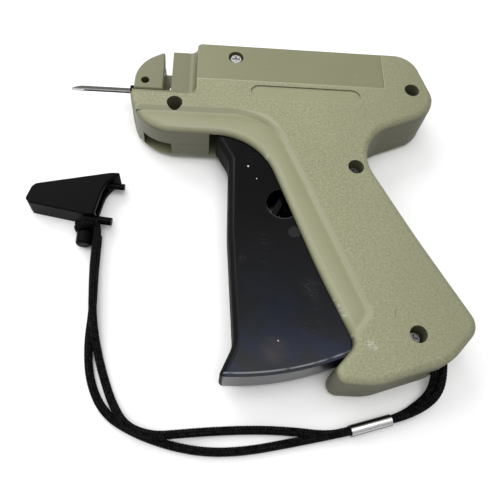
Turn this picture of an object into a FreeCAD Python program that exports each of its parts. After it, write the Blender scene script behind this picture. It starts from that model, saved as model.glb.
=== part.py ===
import FreeCAD, Part
import math
import os

# A pistol-shaped garment tag attacher, in millimetres.
# It is drawn as it is used: X runs back along the barrel, Y up towards the barrel's top and Z across
# the tool, with the joint between the two housing halves at Z = 0.  Everything is then laid down on
# the tool's right side, with the origin under the middle of the tool on the surface it lies on.
Vector = FreeCAD.Vector
ACROSS = Vector(0, 0, 1)

# Housing
half_thickness = 11.5          # joint face to the outer side of one half
wall = 2.2                     # around the outline
side_depth = 8.0               # how deep each half is hollowed
soft_edge = 3.0                # rounding of the handle, butt and nose
crisp_edge = 0.9               # rounding of the barrel's top edges
barrel_front = -24.6
front_corner = 2.0             # rounding of the barrel's top front corner
ledge_height = 60.6            # top of the nose, where the feed block stands back
ledge_fillet = 3.6
nose_floor = 42.7              # underside of the nose
nose_half = 7.5                # half thickness of the feed block and the nose fin
cove = 3.2                     # hollow rounding where the feed block meets the barrel
band_depth = 1.5               # finger band round the barrel's underside and the handle's front
band_slope = 1.6               # how far the band's edge runs out over its depth
panel_depth = 0.5              # the smooth sunk panel along the barrel
panel_low = 69.0
panel_rear = 56.5
slot_depth = 0.5               # the long round-ended recess on the left side
slot_length = 47.0
slot_width = 7.3
slot_middle = (22.0, 63.0)

# Needle and push rod
needle_rise = 9.0              # the needle above the nose's top
needle_height = ledge_height + needle_rise
needle_tip = -78.4
needle_radius = 1.1
needle_bore = 0.8
needle_slit = 0.7
needle_bevel = 9.0             # length of the slanted point
base_radius = 2.4
base_length = 9.6
base_front = -53.2
rod_radius = 0.6
rod_tip = -33.2
stroke = 42.0
running = 0.05                 # radial clearance of a turning or sliding fit
play = 0.3                     # clearance between pieces that pass one another
barrel_top = needle_height + 18.9

# Screws: place, and how deep the head is sunk in the left side
lever_drop = 42.0              # the drive lever's middle below the needle
screws = {"nose": (-33.0, ledge_height - 5.4, 8.0), "top": (-7.9, barrel_top - 6.6, 1.5),
          "rear": (68.7, needle_height - 0.9, 8.0), "middle": (40.7, needle_height - lever_drop, 4.5),
          "butt": (57.4, -41.3, 5.5)}
boss_radius = 4.0
sink_radius = 3.2
head_radius = 2.85
head_height = 2.0
head_bevel = 0.6
cross_half = 1.6               # half length of the recess's arms
cross_width = 0.7
cross_depth = 1.0
shank_radius = 1.5
shank_reach = 7.5              # how far a shank goes into the right half
screw_clearance = 0.2

# Fin, feed slot, well and chute for a clip of tags
fin_front = -50.9
fin_foot = ledge_height + 4.6  # underside of the part of the fin that crosses the joint
fin_gap = 0.7                  # the thread's way out, under the fin
fin_bevel = 0.5
slot_front = -38.6
slot_rear = -35.2
feed_top = barrel_top - 2.5
well_front = -41.4
well_rear = -33.0
well_half = 2.0
chute_front = -44.3
chute_rear = -37.6
chute_floor = nose_floor + 4.8
window_front = -46.0           # the clip's way out, through the nose's underside in the right half
window_rear = -34.2
window_low = 8.9               # its two edges below the joint
window_high = 0.3
blade_front = 0.6              # the knife blade's thickness in front of the slot
blade_low = 3.6                # its lower end below the needle, and its upper end above
blade_high = 6.4
lock_place = (-46.4, needle_height)
lock_radius = 1.6
lock_bite = 0.7
lock_length = 10.0
lock_width = 5.0
lock_thickness = 2.4
lock_angle = 62.0

# Trigger
pivot = (-8.0, 50.0)
trigger_half = 7.2
trigger_wall = 1.8
trigger_edge = 2.6             # rounding of the front edges
rib_width = 2.4                # the diagonal rib inside
rib_ends = ((-6.6, -20.0), (14.6, 21.4))
toe_flare = 11.9               # how far above the foot the front starts to flare out
neck_foot = 9.0                # the channel's upper end below the pivot
neck_sides = 7.0               # and where the neck's sides are thinned
trigger_radius = 106.5         # from the pivot to the trigger's foot
foot_angles = (-91.2, -64.0)   # the foot's two ends, seen from the pivot
hub_radius = 4.6
hub_half = 5.5
axle_radius = 2.0
link_pin = (15.2, -0.8)
link_pin_radius = 2.1
trigger_hole = (11.5, 11.7, 6.5)
opening_front = -18.3          # front end of the trigger's opening
opening_top = 47.2

# Drive lever, link and slide
lever_travel = 50.0            # degrees
lever_lean = 20.0              # the drive pin's direction, in degrees back from upright, at rest
crank_angle = -113.75          # direction of the lever's lower arm, at rest
crank = 20.0                   # length of the lower arm
lever_knee = (-0.5, 18.4)      # bend of the upper arm, from the lever's middle
lever_half = 1.5
lever_hub_radius = 4.4
lever_hub_half = 2.5
arm_width = 6.4
arm_slot = 2.6                 # width of the slot that lightens the upper arm
stud_radius = 1.0              # the return spring pushes on this stud
stud_height = 2.6
neck_radius = 2.6              # of the middle boss where the lever and its spring sit
neck_depth = 6.6               # how far the neck goes into the right half
pin_radius = 1.3
link_half = 3.4
link_width = 7.1
link_length = 19.43
link_angle = 28.35             # degrees, at rest
open_pivot_play = 1.1          # in the link's rear eye, where the loop of levers closes
slide_half = 5.0
slide_front = 27.0
slide_rear = 62.0
slide_bottom = needle_height - 6.1
slide_top = needle_height + 6.8
hump_front = 44.5              # the slide's taller rear part
hump_top = needle_height + 13.4
lever_room_front = 46.8        # the slot in the slide that the lever swings in
tongue_height = 5.0
tongue_reach = 7.6
rod_seat = 8.0                 # how deep the push rod sits in the slide
fork_play = 1.0
rail_thickness = 1.9
spring_wire = 0.5
spring_turns = 2
spring_leg = 13.0
wire_sides = 6

# Feed pawl
pawl_lift = 3.0
pawl_rear = -26.6
pawl_front = -32.6
pawl_bottom = needle_height - 7.0
pawl_height = 10.4
pawl_inner = 2.9
pawl_outer = 5.0
claw_height = pawl_bottom + 3.8
claw_thickness = 1.5
claw_tip = -35.9
claw_inner = 1.0               # the claw's edge beside the clip
tail_end = -18.5
tail_thickness = 2.0
spring_length = 1.2            # the pawl spring when pressed
pawl_spring_radius = 0.95
pawl_wire = 0.2
pawl_turns = 5

# Strap, ferrule and needle cap
strap_radius = 1.6
strap_sides = 8
strap_pin = (67.0, -41.5)
strap_pin_radius = 1.5
strap_slot_half = 4.4
ferrule_start = (35.5, -71.44)
ferrule_end = (50.5, -67.4)
ferrule_wall = 0.45
ferrule_low = 2.1              # height of the lower strand in the ferrule
stack_step = 1.3               # the upper strand above the lower one, as both are pressed together
cap_height = 9.0
cap_wall = 2.0
stem_radius = 1.3
cap_peg = (-65.9, 4.6)         # the peg's place along the barrel and its height above the surface
peg_top = 2.3                  # upper side of the peg's head
peg_length = 5.0
peg_radius = 3.1
hitch_end = 2.0                # where the strap's two strands run into the hitch
hitch_places = (4.1, 7.4)      # the two turns of braid round the peg


def flat(x, y, z=0.0):
    return Vector(x, y, z)


def outline(*corners):
    """A closed wire through corner points.  A third number rounds the corner with that radius."""
    points = [flat(*corner[:2]) for corner in corners]
    radii = [corner[2] if len(corner) > 2 else 0 for corner in corners]
    starts, ends, edges = [], [], []
    for i, here in enumerate(points):
        back = (points[i - 1] - here).normalize()
        onward = (points[(i + 1) % len(points)] - here).normalize()
        half = back.getAngle(onward) / 2
        start = here + back * (radii[i] / math.tan(half))
        end = here + onward * (radii[i] / math.tan(half))
        if radii[i]:
            nearest = here + (back + onward).normalize() * (radii[i] / math.sin(half) - radii[i])
            edges.append(Part.Arc(start, nearest, end).toShape())
        starts.append(start)
        ends.append(end)
    for i, end in enumerate(ends):
        start = starts[(i + 1) % len(points)]
        if end.distanceToPoint(start) > 1e-6:
            edges.append(Part.LineSegment(end, start).toShape())
    return Part.Wire(Part.__sortEdges__(edges))


def slab(wire, low, high):
    """A plate with this outline between two heights."""
    face = Part.Face(wire)
    if face.normalAt(0, 0).z < 0:
        face.reverse()
    face.translate(Vector(0, 0, low))
    return face.extrude(Vector(0, 0, high - low))


def box(x, y, z):
    """A block from three (low, high) pairs."""
    return Part.makeBox(x[1] - x[0], y[1] - y[0], z[1] - z[0], Vector(x[0], y[0], z[0]))


def rod_across(place, radius, low, high):
    """A round bar or hole across the tool."""
    return Part.makeCylinder(radius, high - low, flat(place[0], place[1], low), ACROSS)


def rod_along(front, rear, height, radius, z=0.0):
    """A round bar or hole along the barrel."""
    return Part.makeCylinder(radius, rear - front, flat(front, height, z), Vector(1, 0, 0))


def mirrored(shape):
    """The same shape on the other side of the joint between the halves."""
    return shape.mirror(Vector(0, 0, 0), ACROSS)


def turned(point, centre, degrees):
    """A point turned about a centre."""
    angle = math.radians(degrees)
    x, y = point[0] - centre[0], point[1] - centre[1]
    return (centre[0] + x * math.cos(angle) - y * math.sin(angle),
            centre[1] + x * math.sin(angle) + y * math.cos(angle))


def bar(start, end, width, low, high):
    """A flat bar with round ends between two pivots."""
    radius = width / 2
    angle = math.degrees(math.atan2(end[1] - start[1], end[0] - start[0]))
    length = math.dist(start, end)
    shank = box((0, length), (-radius, radius), (low, high))
    shank.rotate(Vector(0, 0, 0), ACROSS, angle)
    shank.translate(flat(*start))
    ends = [rod_across(place, radius, low, high) for place in (start, end)]
    return shank.fuse(ends).removeSplitter()


# ---------------------------------------------------------------- linkage: places at rest
middle = screws["middle"][:2]                    # the drive lever turns on this screw's boss
lever_pin = turned((middle[0] + crank, middle[1]), middle, crank_angle)
reach = stroke / (math.sin(math.radians(lever_lean)) + math.sin(math.radians(lever_travel - lever_lean)))
drive_pin = (middle[0] + reach * math.sin(math.radians(lever_lean)),
             middle[1] + reach * math.cos(math.radians(lever_lean)))
knee = (middle[0] + lever_knee[0], middle[1] + lever_knee[1])
link_eye = turned((link_pin[0] + link_length, link_pin[1]), link_pin, link_angle)


# ---------------------------------------------------------------- housing outlines
def handle_outline():
    """The handle, butt, foot and nose.  It runs past the barrel, whose own outline bounds it there."""
    return outline(
        (-62.0, 100.0), (95.0, 100.0), (76.0, 82.0), (79.6, 58.7, 14), (40.2, 41.9, 17), (62.0, -1.9, 250),
        (81.3, -37.6, 7), (68.5, -51.0, 22), (42.0, -59.3, 20), (22.8, -58.7, 4), (35.3, -44.9, 5),
        (23.6, -17.3, 200), (1.7, nose_floor, 26), (-47.2, nose_floor, 18))


def barrel_outline():
    """The barrel's top, front and rear bump and the nose's top.  It runs past the handle."""
    return outline(
        (barrel_front, barrel_top, front_corner), (70.6, barrel_top, 11), (79.6, 58.7), (92.0, 40.0),
        (92.0, -75.0), (-70.0, -75.0), (-70.0, ledge_height), (barrel_front, ledge_height, ledge_fillet))


def band_outline():
    """Everything in front of the step that edges the finger band."""
    return outline(
        (-70.0, 51.6), (7.1, 51.9, 24), (40.7, -33.5, 5.5), (33.2, -44.0), (-30.0, -44.0), (-70.0, 20.0))


def label_slot():
    run = (slot_length - slot_width) / 2
    start = (slot_middle[0] - run, slot_middle[1])
    end = (slot_middle[0] + run, slot_middle[1])
    return bar(start, end, slot_width, half_thickness - slot_depth, half_thickness + 1)


def foot_corner(radius, front, rear):
    """The corner point that an arc of this radius about the pivot rounds, between two angles."""
    distance = radius / math.cos(math.radians(rear - front) / 2)
    return turned((pivot[0] + distance, pivot[1]), pivot, (front + rear) / 2)


def trigger_opening():
    """The slot in the housing's front that the trigger swings in."""
    radius = trigger_radius + 0.5
    front, rear = -84.0, -62.0
    foot = foot_corner(radius, front, rear)
    start, end = (turned((pivot[0] + radius, pivot[1]), pivot, angle) for angle in (front, rear))
    wire = outline(start, (opening_front, -40.0), (opening_front, opening_top), (2.0, opening_top),
                   (28.0, 12.0), (40.0, -26.0), end, (foot[0], foot[1], radius))
    return slab(wire, -trigger_half - play, trigger_half + play)


def at_height(edge, height):
    bounds = edge.BoundBox
    return abs(bounds.ZMin - height) < 1e-4 and abs(bounds.ZMax - height) < 1e-4


def rounded_plate(wire, thickness, radius):
    """A plate from the joint outwards with its whole outer edge rounded."""
    plate = slab(wire, 0, thickness)
    return plate.makeFillet(radius, [edge for edge in plate.Edges if at_height(edge, thickness)])


# ---------------------------------------------------------------- housing
def body_face():
    """The true outline of the full-thickness body."""
    return Part.Face(handle_outline()).common(Part.Face(barrel_outline())).Faces[0]


def half_body():
    """One half before it is hollowed, on the positive side of the joint."""
    barrel = rounded_plate(barrel_outline(), half_thickness, crisp_edge)
    body = rounded_plate(handle_outline(), half_thickness, soft_edge).common(barrel)
    band_top = half_thickness - band_depth
    band = slab(band_outline(), -1, half_thickness + 1)
    lower = rounded_plate(handle_outline(), band_top, soft_edge).common(band)
    edge = band_outline()
    edge.translate(Vector(0, 0, band_top + 0.02))
    brim = band_outline().makeOffset2D(band_slope, 2)
    brim.translate(Vector(0, 0, half_thickness + 0.02))
    slope = Part.makeLoft([edge, brim], True, True)
    return body.cut([band, slope]).fuse(lower).removeSplitter()


def feed_block():
    """The block behind the feed slot, which stands back from the barrel's side."""
    return box((slot_rear, barrel_front + wall), (ledge_height - wall, feed_top), (0, nose_half))


def nose_strip():
    """The strip of the nose's top below the fin."""
    top = fin_foot - fin_gap
    return slab(outline((-51.0, ledge_height - wall), (slot_rear + 1, ledge_height - wall),
                        (slot_rear + 1, top), (-51.6, top)), 0, nose_half)


def coves():
    """The hollow rounding where the feed block and the nose's strip meet the barrel and the ledge."""
    start = flat(-51.4, ledge_height, nose_half)
    turn = flat(barrel_front - ledge_fillet, ledge_height, nose_half)
    inner = ledge_fillet * (1 - math.sqrt(0.5))
    bend = flat(barrel_front - inner, ledge_height + inner, nose_half)
    upward = flat(barrel_front, ledge_height + ledge_fillet, nose_half)
    path = Part.Wire([Part.LineSegment(start, turn).toShape(), Part.Arc(turn, bend, upward).toShape(),
                      Part.LineSegment(upward, flat(barrel_front, feed_top, nose_half)).toShape()])
    near = cove * (1 - math.sqrt(0.5))
    profile = Part.Wire([Part.LineSegment(start, start + Vector(0, cove, 0)).toShape(),
                         Part.Arc(start + Vector(0, cove, 0), start + Vector(0, near, near),
                                  start + Vector(0, 0, cove)).toShape(),
                         Part.LineSegment(start + Vector(0, 0, cove), start).toShape()])
    return path.makePipeShell([profile], True, False)


def hollow():
    """The room inside one half, walled all round."""
    inner = body_face().OuterWire.makeOffset2D(-wall)
    return slab(inner, 0, side_depth)


def fin():
    """The quarter-round fin in front of the feed slot, moulded on the right half."""
    face = outline((fin_front, fin_foot), (fin_front, needle_height + 9.4, 16),
                   (slot_front - 0.3, barrel_top - 2.3, 0.8), (slot_front, needle_height + 8.4),
                   (slot_front, fin_foot))
    upper = slab(face, -nose_half, nose_half)
    upper = upper.makeChamfer(fin_bevel, [edge for edge in upper.Edges if at_height(edge, nose_half)])
    root = box((fin_front, slot_front), (ledge_height, fin_foot + 1), (-nose_half, -0.4))
    tongue = slab(outline((slot_front - 0.4, ledge_height), (slot_front + 1.6, ledge_height),
                          (slot_front + 1.6, needle_height + 6.4), (slot_front - 0.2, needle_height + 13.4)),
                  -nose_half, -1.2)
    web = box((slot_front - 0.4, slot_rear + 0.4), (ledge_height, feed_top - 1.0),
              (-nose_half, -pawl_outer - 1.0))
    return upper.fuse([root, tongue, web])


def rails():
    """Two ribs in one half that guide the slide's tongue."""
    middle_height = needle_height
    low = middle_height - tongue_height / 2 - play - rail_thickness
    high = middle_height + tongue_height / 2 + play
    front, rear = barrel_front + wall - 0.5, slide_rear - 0.6
    ribs = [box((front, rear), (edge, edge + rail_thickness), (slide_half + play, side_depth + 0.5))
            for edge in (low, high)]
    return ribs[0].fuse(ribs[1])


def screw_holes():
    """The sunk screw holes of the left half and the pilot holes of the right half."""
    cuts = []
    for x, y, sunk in screws.values():
        cuts.append(rod_across((x, y), sink_radius, half_thickness - sunk - head_height, half_thickness + 1))
        cuts.append(rod_across((x, y), shank_radius + screw_clearance, -0.1, half_thickness))
        cuts.append(rod_across((x, y), shank_radius, -shank_reach, 0.1))
    return cuts


def feed_passage():
    """The well that takes a clip of tags, the chute below it, its window and the push rod's way."""
    half = well_half
    well = box((well_front, well_rear), (ledge_height + 1.4, barrel_top), (-half, half))
    chute = box((chute_front, chute_rear), (chute_floor, ledge_height + 5.4), (-half, half))
    window = box((window_front, window_rear), (nose_floor - 2.7, nose_floor + 8.6),
                 (-window_low, -window_high))
    way = rod_along(slot_front - 1, barrel_front + wall + 1, needle_height, rod_radius + play)
    return [well, chute, window, way]


def pawl_room():
    """The room in the left half's feed block for the feed pawl and its tail."""
    room = box((pawl_front - play, pawl_rear + play),
               (pawl_bottom - play, pawl_bottom + pawl_height + pawl_lift + spring_length),
               (-0.1, pawl_outer + play))
    mouth_top = claw_height + pawl_lift + claw_thickness + 0.9
    mouth = box((slot_rear - 1, pawl_front), (claw_height - 1.0, mouth_top), (-0.1, pawl_outer + play))
    tail = box((pawl_rear, barrel_front + wall + 1),
               (claw_height - play, claw_height + pawl_lift + tail_thickness + play),
               (pawl_inner - play, pawl_outer + play))
    return [room, mouth, tail]


def fitted(half, side):
    """What both halves get once they are hollow: bosses, rails, holes and pin seats."""
    reach = (0, half_thickness - band_depth) if side > 0 else (band_depth - half_thickness, 0)
    hub_room = lever_hub_half + play
    half = half.cut(rod_across(middle, lever_hub_radius + play, -hub_room, hub_room))
    for name, (x, y, _) in screws.items():
        if name == "middle":
            neck = hub_room if side > 0 else neck_depth
            half = half.fuse(rod_across(middle, neck_radius, *reach))
            reach_out = (neck, reach[1]) if side > 0 else (reach[0], -neck)
            half = half.fuse(rod_across(middle, boss_radius, *reach_out))
        else:
            half = half.fuse(rod_across((x, y), boss_radius, *reach))
    ribs = rails()
    half = half.fuse(ribs if side > 0 else mirrored(ribs))
    seats = [(pivot, 4.0, hub_half + play), (strap_pin, 3.2, 4.0)]
    for place, radius, inner in seats:
        low, high = (inner, side_depth + 0.5) if side > 0 else (-side_depth - 0.5, -inner)
        half = half.fuse(rod_across(place, radius, low, high))
    half = half.cut(screw_holes() + feed_passage() + [trigger_opening(), strap_slot()])
    pin_reach = side_depth + 0.9
    half = half.cut([rod_across(pivot, axle_radius, -pin_reach, pin_reach),
                     rod_across(strap_pin, strap_pin_radius, -pin_reach, pin_reach)])
    return half


def strap_slot():
    """The way out of the butt for the strap's two strands."""
    half = strap_pin_radius + 2 * strap_radius + 0.6
    return box((strap_pin[0] - half, strap_pin[0] + half), (strap_pin[1] - 18.5, strap_pin[1] - 3.0),
               (-strap_slot_half, strap_slot_half))


def half_shell():
    body = half_body().fuse([feed_block(), nose_strip(), coves()]).removeSplitter()
    return body.cut(hollow())


def left_housing():
    """The left half: it carries the sunk screw holes, the bare label slot and the feed pawl."""
    half = fitted(half_shell(), 1)
    beyond_joint = slab(body_face().OuterWire.makeOffset2D(3.0), -0.5, 0)
    return half.cut([label_slot(), panel(), beyond_joint] + pawl_room())


def right_housing():
    """The right half: it carries the fin, with the needle's seat, and the lock lever's hole."""
    half = fitted(mirrored(half_shell()).fuse(fin()), -1)
    cuts = [rod_along(base_front - 1, base_front + base_length, needle_height, base_radius + 0.02),
            rod_along(base_front, slot_front + 1, needle_height, rod_radius + play),
            box((fin_front - 4, slot_front + 0.5), (ledge_height, needle_height), (-0.4, 0.4)),
            rod_across(lock_place, lock_radius + 0.15, 0, nose_half + 1),
            rod_across(lock_place, lock_radius + running, -nose_half - 1, 0),
            mirrored(panel()), knife_blade()]
    return half.cut(cuts)


def panel():
    """The smooth sunk panel along the upper part of the barrel's side."""
    return box((barrel_front - 1, panel_rear), (panel_low, barrel_top + 1),
               (half_thickness - panel_depth, half_thickness + 1))


def housing_screw(x, y, sunk):
    """A pan-head screw with a cross recess."""
    seat = half_thickness - sunk - head_height
    head = rod_across((x, y), head_radius, seat, seat + head_height)
    head = head.makeChamfer(head_bevel, [edge for edge in head.Edges if at_height(edge, seat + head_height)])
    arms = ((cross_half, cross_width / 2), (cross_width / 2, cross_half))
    bottom = seat + head_height - cross_depth
    cross = [box((x - length, x + length), (y - width, y + width), (bottom, bottom + cross_depth + 1))
             for length, width in arms]
    return head.fuse(rod_across((x, y), shank_radius, -shank_reach, seat)).cut(cross)


# ---------------------------------------------------------------- needle, knife and lock
def needle():
    """A steel tube with a slit underneath for the tag's thread and a long slanted point."""
    rear = base_front + base_length - 1.5
    tube = rod_along(needle_tip, rear, needle_height, needle_radius)
    tube = tube.cut(rod_along(needle_tip - 1, rear + 1, needle_height, needle_bore))
    slit = box((needle_tip - 1, rear + 1), (needle_height - needle_radius - 1, needle_height),
               (-needle_slit / 2, needle_slit / 2))
    top = needle_height + needle_radius
    low = needle_height - needle_radius
    point = slab(outline((needle_tip - 1, top + 1), (needle_tip - 1, low + 0.3),
                         (needle_tip, low + 0.3), (needle_tip + needle_bevel, top + 1)),
                 -needle_radius - 1, needle_radius + 1)
    return tube.cut([slit, point])


def needle_base():
    """The moulded plug on the needle's rear end, with a notch on its right for the lock lever."""
    plug = rod_along(base_front, base_front + base_length, needle_height, base_radius)
    slit = box((base_front - 1, base_front + base_length + 1),
               (needle_height - base_radius - 1, needle_height),
               (-needle_slit / 2, needle_slit / 2))
    bore = rod_along(base_front - 1, base_front + base_length + 1, needle_height, needle_radius)
    notch = rod_across(lock_place, lock_radius + play, -base_radius - 1, -base_radius + lock_bite + 0.1)
    return plug.cut([slit, bore, notch])


def knife_blade():
    """A steel blade in front of the feed slot, which parts each tag from its clip."""
    return box((slot_front - blade_front, slot_front),
               (needle_height - blade_low, needle_height + blade_high),
               (1.0, 6.2))


def needle_lock_lever():
    """A small lever on the right side whose spindle bites in the needle base's notch."""
    spindle = rod_across(lock_place, lock_radius, -nose_half - 1.0, -base_radius + lock_bite)
    tip = turned((lock_place[0] + lock_length, lock_place[1]), lock_place, lock_angle)
    wing = bar(lock_place, tip, lock_width, -nose_half - play - lock_thickness, -nose_half - play)
    return spindle.fuse(wing).removeSplitter()


# ---------------------------------------------------------------- trigger
def trigger_outline():
    """The trigger seen from the side: its hub, narrow neck, long front, foot and back."""
    front, rear = foot_angles
    foot = foot_corner(trigger_radius, front, rear)
    toe, heel = (turned((pivot[0] + trigger_radius, pivot[1]), pivot, angle) for angle in (front, rear))
    return outline((-1.0, 54.6, 3), (-12.2, 54.6, 4), (-15.9, 42.5, 6), (-10.0, 32.0, 9), (-9.9, 0.0, 120),
                   (-7.2, pivot[1] - trigger_radius + toe_flare, 14), (toe[0] - 2.3, toe[1], 1.4),
                   (foot[0], foot[1], trigger_radius - 0.5),
                   (heel[0] + 1.8, heel[1] + 0.9, 1.6), (26.3, 2.0, 60))


def trigger():
    """A channel moulding, open at the back, with a hub for the axle and a diagonal rib."""
    wire = trigger_outline()
    beyond = 2 * trigger_radius
    foot_level = pivot[1] - trigger_radius
    soft_front = outline((60.0, 80.0), (-8.7, 80.0), (-15.9, 42.5, 6), (-10.0, 32.0, 9), (-9.9, 0.0, 120),
                         (-7.2, foot_level + toe_flare, 14), (-17.9, foot_level - toe_flare),
                         (60.0, foot_level - toe_flare))
    side = slab(wire, 0, trigger_half).common(rounded_plate(soft_front, trigger_half, trigger_edge))
    body = side.fuse(mirrored(side)).removeSplitter()
    inner = slab(wire.makeOffset2D(-trigger_wall), -trigger_half + trigger_wall, trigger_half - trigger_wall)
    back = inner.copy()
    back.translate(Vector(9, 3, 0))
    below_neck = box((-beyond, beyond), (-beyond, pivot[1] - neck_foot), (-beyond, beyond))
    keep = rod_across(pivot, hub_radius, -hub_half, hub_half)
    room = inner.fuse(back).common(below_neck).cut(keep)
    body = body.cut(room)
    rib = bar(*rib_ends, rib_width, -trigger_half + 0.5, trigger_half - 0.5)
    body = body.fuse(rib.common(slab(wire, -trigger_half, trigger_half)))
    clear = hub_half - 0.2
    for low, high in ((clear, trigger_half + 1), (-trigger_half - 1, -clear)):
        body = body.cut(box((-beyond, beyond), (pivot[1] - neck_sides, beyond), (low, high)))
    return body.cut([rod_across(pivot, axle_radius + running, -20, 20),
                     rod_across(link_pin, link_pin_radius, -20, 20),
                     rod_across(trigger_hole[:2], trigger_hole[2], trigger_half - 3, 20),
                     rod_across(trigger_hole[:2], trigger_hole[2], -20, 3 - trigger_half)])


# ---------------------------------------------------------------- lever, link and slide
def drive_link():
    """The link from the trigger's pin to the lever's crank, forked at the crank."""
    body = bar(link_pin, link_eye, link_width, -link_half, link_half)
    fork = rod_across(link_eye, link_width / 2 + 5, -lever_half - play, lever_half + play)
    return body.cut([fork, rod_across(link_pin, link_pin_radius + running, -10, 10),
                     rod_across(link_eye, pin_radius + open_pivot_play, -10, 10)])


def drive_lever():
    """A two-armed lever that turns on the middle screw's boss; its upper arm is cranked past the wall."""
    spans = [(middle, knee), (knee, drive_pin), (middle, lever_pin)]
    body = rod_across(middle, lever_hub_radius, -lever_hub_half, lever_hub_half)
    body = body.fuse([bar(start, end, arm_width, -lever_half, lever_half) for start, end in spans])
    body = body.removeSplitter()
    along = [(knee[0] + (drive_pin[0] - knee[0]) * part, knee[1] + (drive_pin[1] - knee[1]) * part)
             for part in (0.1, 0.72)]
    body = body.fuse(rod_across(spring_stud(), stud_radius, -lever_half - stud_height, 0))
    return body.cut([bar(along[0], along[1], arm_slot, -10, 10),
                     rod_across(middle, neck_radius + running, -10, 10),
                     rod_across(drive_pin, pin_radius, -10, 10), rod_across(lever_pin, pin_radius, -10, 10)])


def spring_stud():
    """The stud on the lever that the return spring pushes on."""
    return (middle[0] - 0.2, middle[1] + spring_leg - 1.0)


def slide():
    """The block that carries the push rod; its cheeks are slotted upright for the lever's pin."""
    body = box((slide_front, slide_rear), (slide_bottom, slide_top), (-slide_half, slide_half))
    hump = slab(outline((hump_front, slide_top - 1), (slide_rear, slide_top - 1), (slide_rear, hump_top, 2),
                        (hump_front + 4, hump_top, 2)), -slide_half, slide_half)
    half = tongue_height / 2
    tongue = box((slide_front + 1, slide_rear), (needle_height - half, needle_height + half),
                 (-tongue_reach, tongue_reach))
    body = body.fuse([hump, tongue]).removeSplitter()
    fork_half = pin_radius + fork_play
    pin_slot = box((drive_pin[0] - fork_half, drive_pin[0] + fork_half),
                   (0, middle[1] + reach + pin_radius + 0.4), (-slide_half, slide_half))
    lever_room = box((lever_room_front, slide_rear + 1), (0, middle[1] + reach + arm_width / 2 + play),
                     (-lever_half - play, lever_half + play))
    lighten = box((slide_front + 10, lever_room_front - 2.5), (0, needle_height - tongue_height / 2),
                  (-slide_half + 1.6, slide_half - 1.6))
    return body.cut([pin_slot, lever_room, lighten,
                     rod_along(slide_front - 1, slide_front + rod_seat, needle_height, rod_radius)])


def push_rod():
    return rod_along(rod_tip, slide_front + rod_seat, needle_height, rod_radius)


def spring(radius, pitch, turns, wire, legs=()):
    """A coil about Z of many-sided wire; it may have a straight leg before its first and last turn."""
    steps = 14
    points = []
    for step in range(round(turns * steps) + 1):
        angle = 2 * math.pi * step / steps
        points.append(Vector(radius * math.cos(angle), radius * math.sin(angle), pitch * step / steps))
    if legs:
        points = [points[0] + legs[0], *points, points[-1] + legs[1]]
    ring = Part.makeCircle(wire, points[0], points[1] - points[0])
    profile = Part.makePolygon(ring.discretize(wire_sides + 1))
    return Part.makePolygon(points).makePipeShell([profile], True, False, 1)


def lever_spring():
    """A torsion spring round the middle boss: one leg on the lever's stud, one on the handle's back."""
    legs = (Vector(0, -spring_leg * 0.7, 0), Vector(-spring_leg * 0.12, spring_leg, 0))
    coil = spring(neck_radius + 0.2 + spring_wire, 2 * spring_wire + 0.1, spring_turns, spring_wire, legs)
    coil.translate(flat(middle[0], middle[1], -neck_depth + spring_wire + 0.6))
    return coil


def rubber_buffer():
    """A rubber ring round the rear boss, where the slide comes to rest."""
    x, y = screws["rear"][:2]
    ring = rod_across((x, y), x - slide_rear - play, -3.0, 3.0)
    open_back = box((x + 2.0, x + 20), (y - 20, y + 20), (-4, 4))
    return ring.cut([rod_across((x, y), boss_radius, -4, 4), open_back])


def pin(place, radius, half_length):
    return rod_across(place, radius, -half_length, half_length)


# ---------------------------------------------------------------- feed pawl
def feed_pawl():
    """A small plate that steps up and down beside the well; its claw moves the clip on by a tag."""
    plate = box((pawl_front, pawl_rear), (pawl_bottom, pawl_bottom + pawl_height), (pawl_inner, pawl_outer))
    claw = box((claw_tip, pawl_front + 0.5), (claw_height, claw_height + claw_thickness),
               (claw_inner, pawl_outer))
    tail = box((pawl_rear - 0.5, tail_end), (claw_height, claw_height + tail_thickness),
               (pawl_inner, pawl_outer))
    return plate.fuse([claw, tail]).removeSplitter()


def pawl_spring():
    """The coil above the pawl's plate that steps it down again."""
    room = pawl_lift + spring_length - 2 * pawl_wire
    coil = spring(pawl_spring_radius, room / pawl_turns, pawl_turns, pawl_wire)
    coil.rotate(Vector(0, 0, 0), Vector(1, 0, 0), -90)
    coil.translate(flat((pawl_front + pawl_rear) / 2, pawl_bottom + pawl_height + pawl_wire,
                        (pawl_inner + pawl_outer) / 2))
    return coil


# ---------------------------------------------------------------- strap and needle cap
def on_table(x, y, height):
    """A point at a height above the surface that the tool lies on."""
    return Vector(x, y, height - half_thickness)


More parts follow.
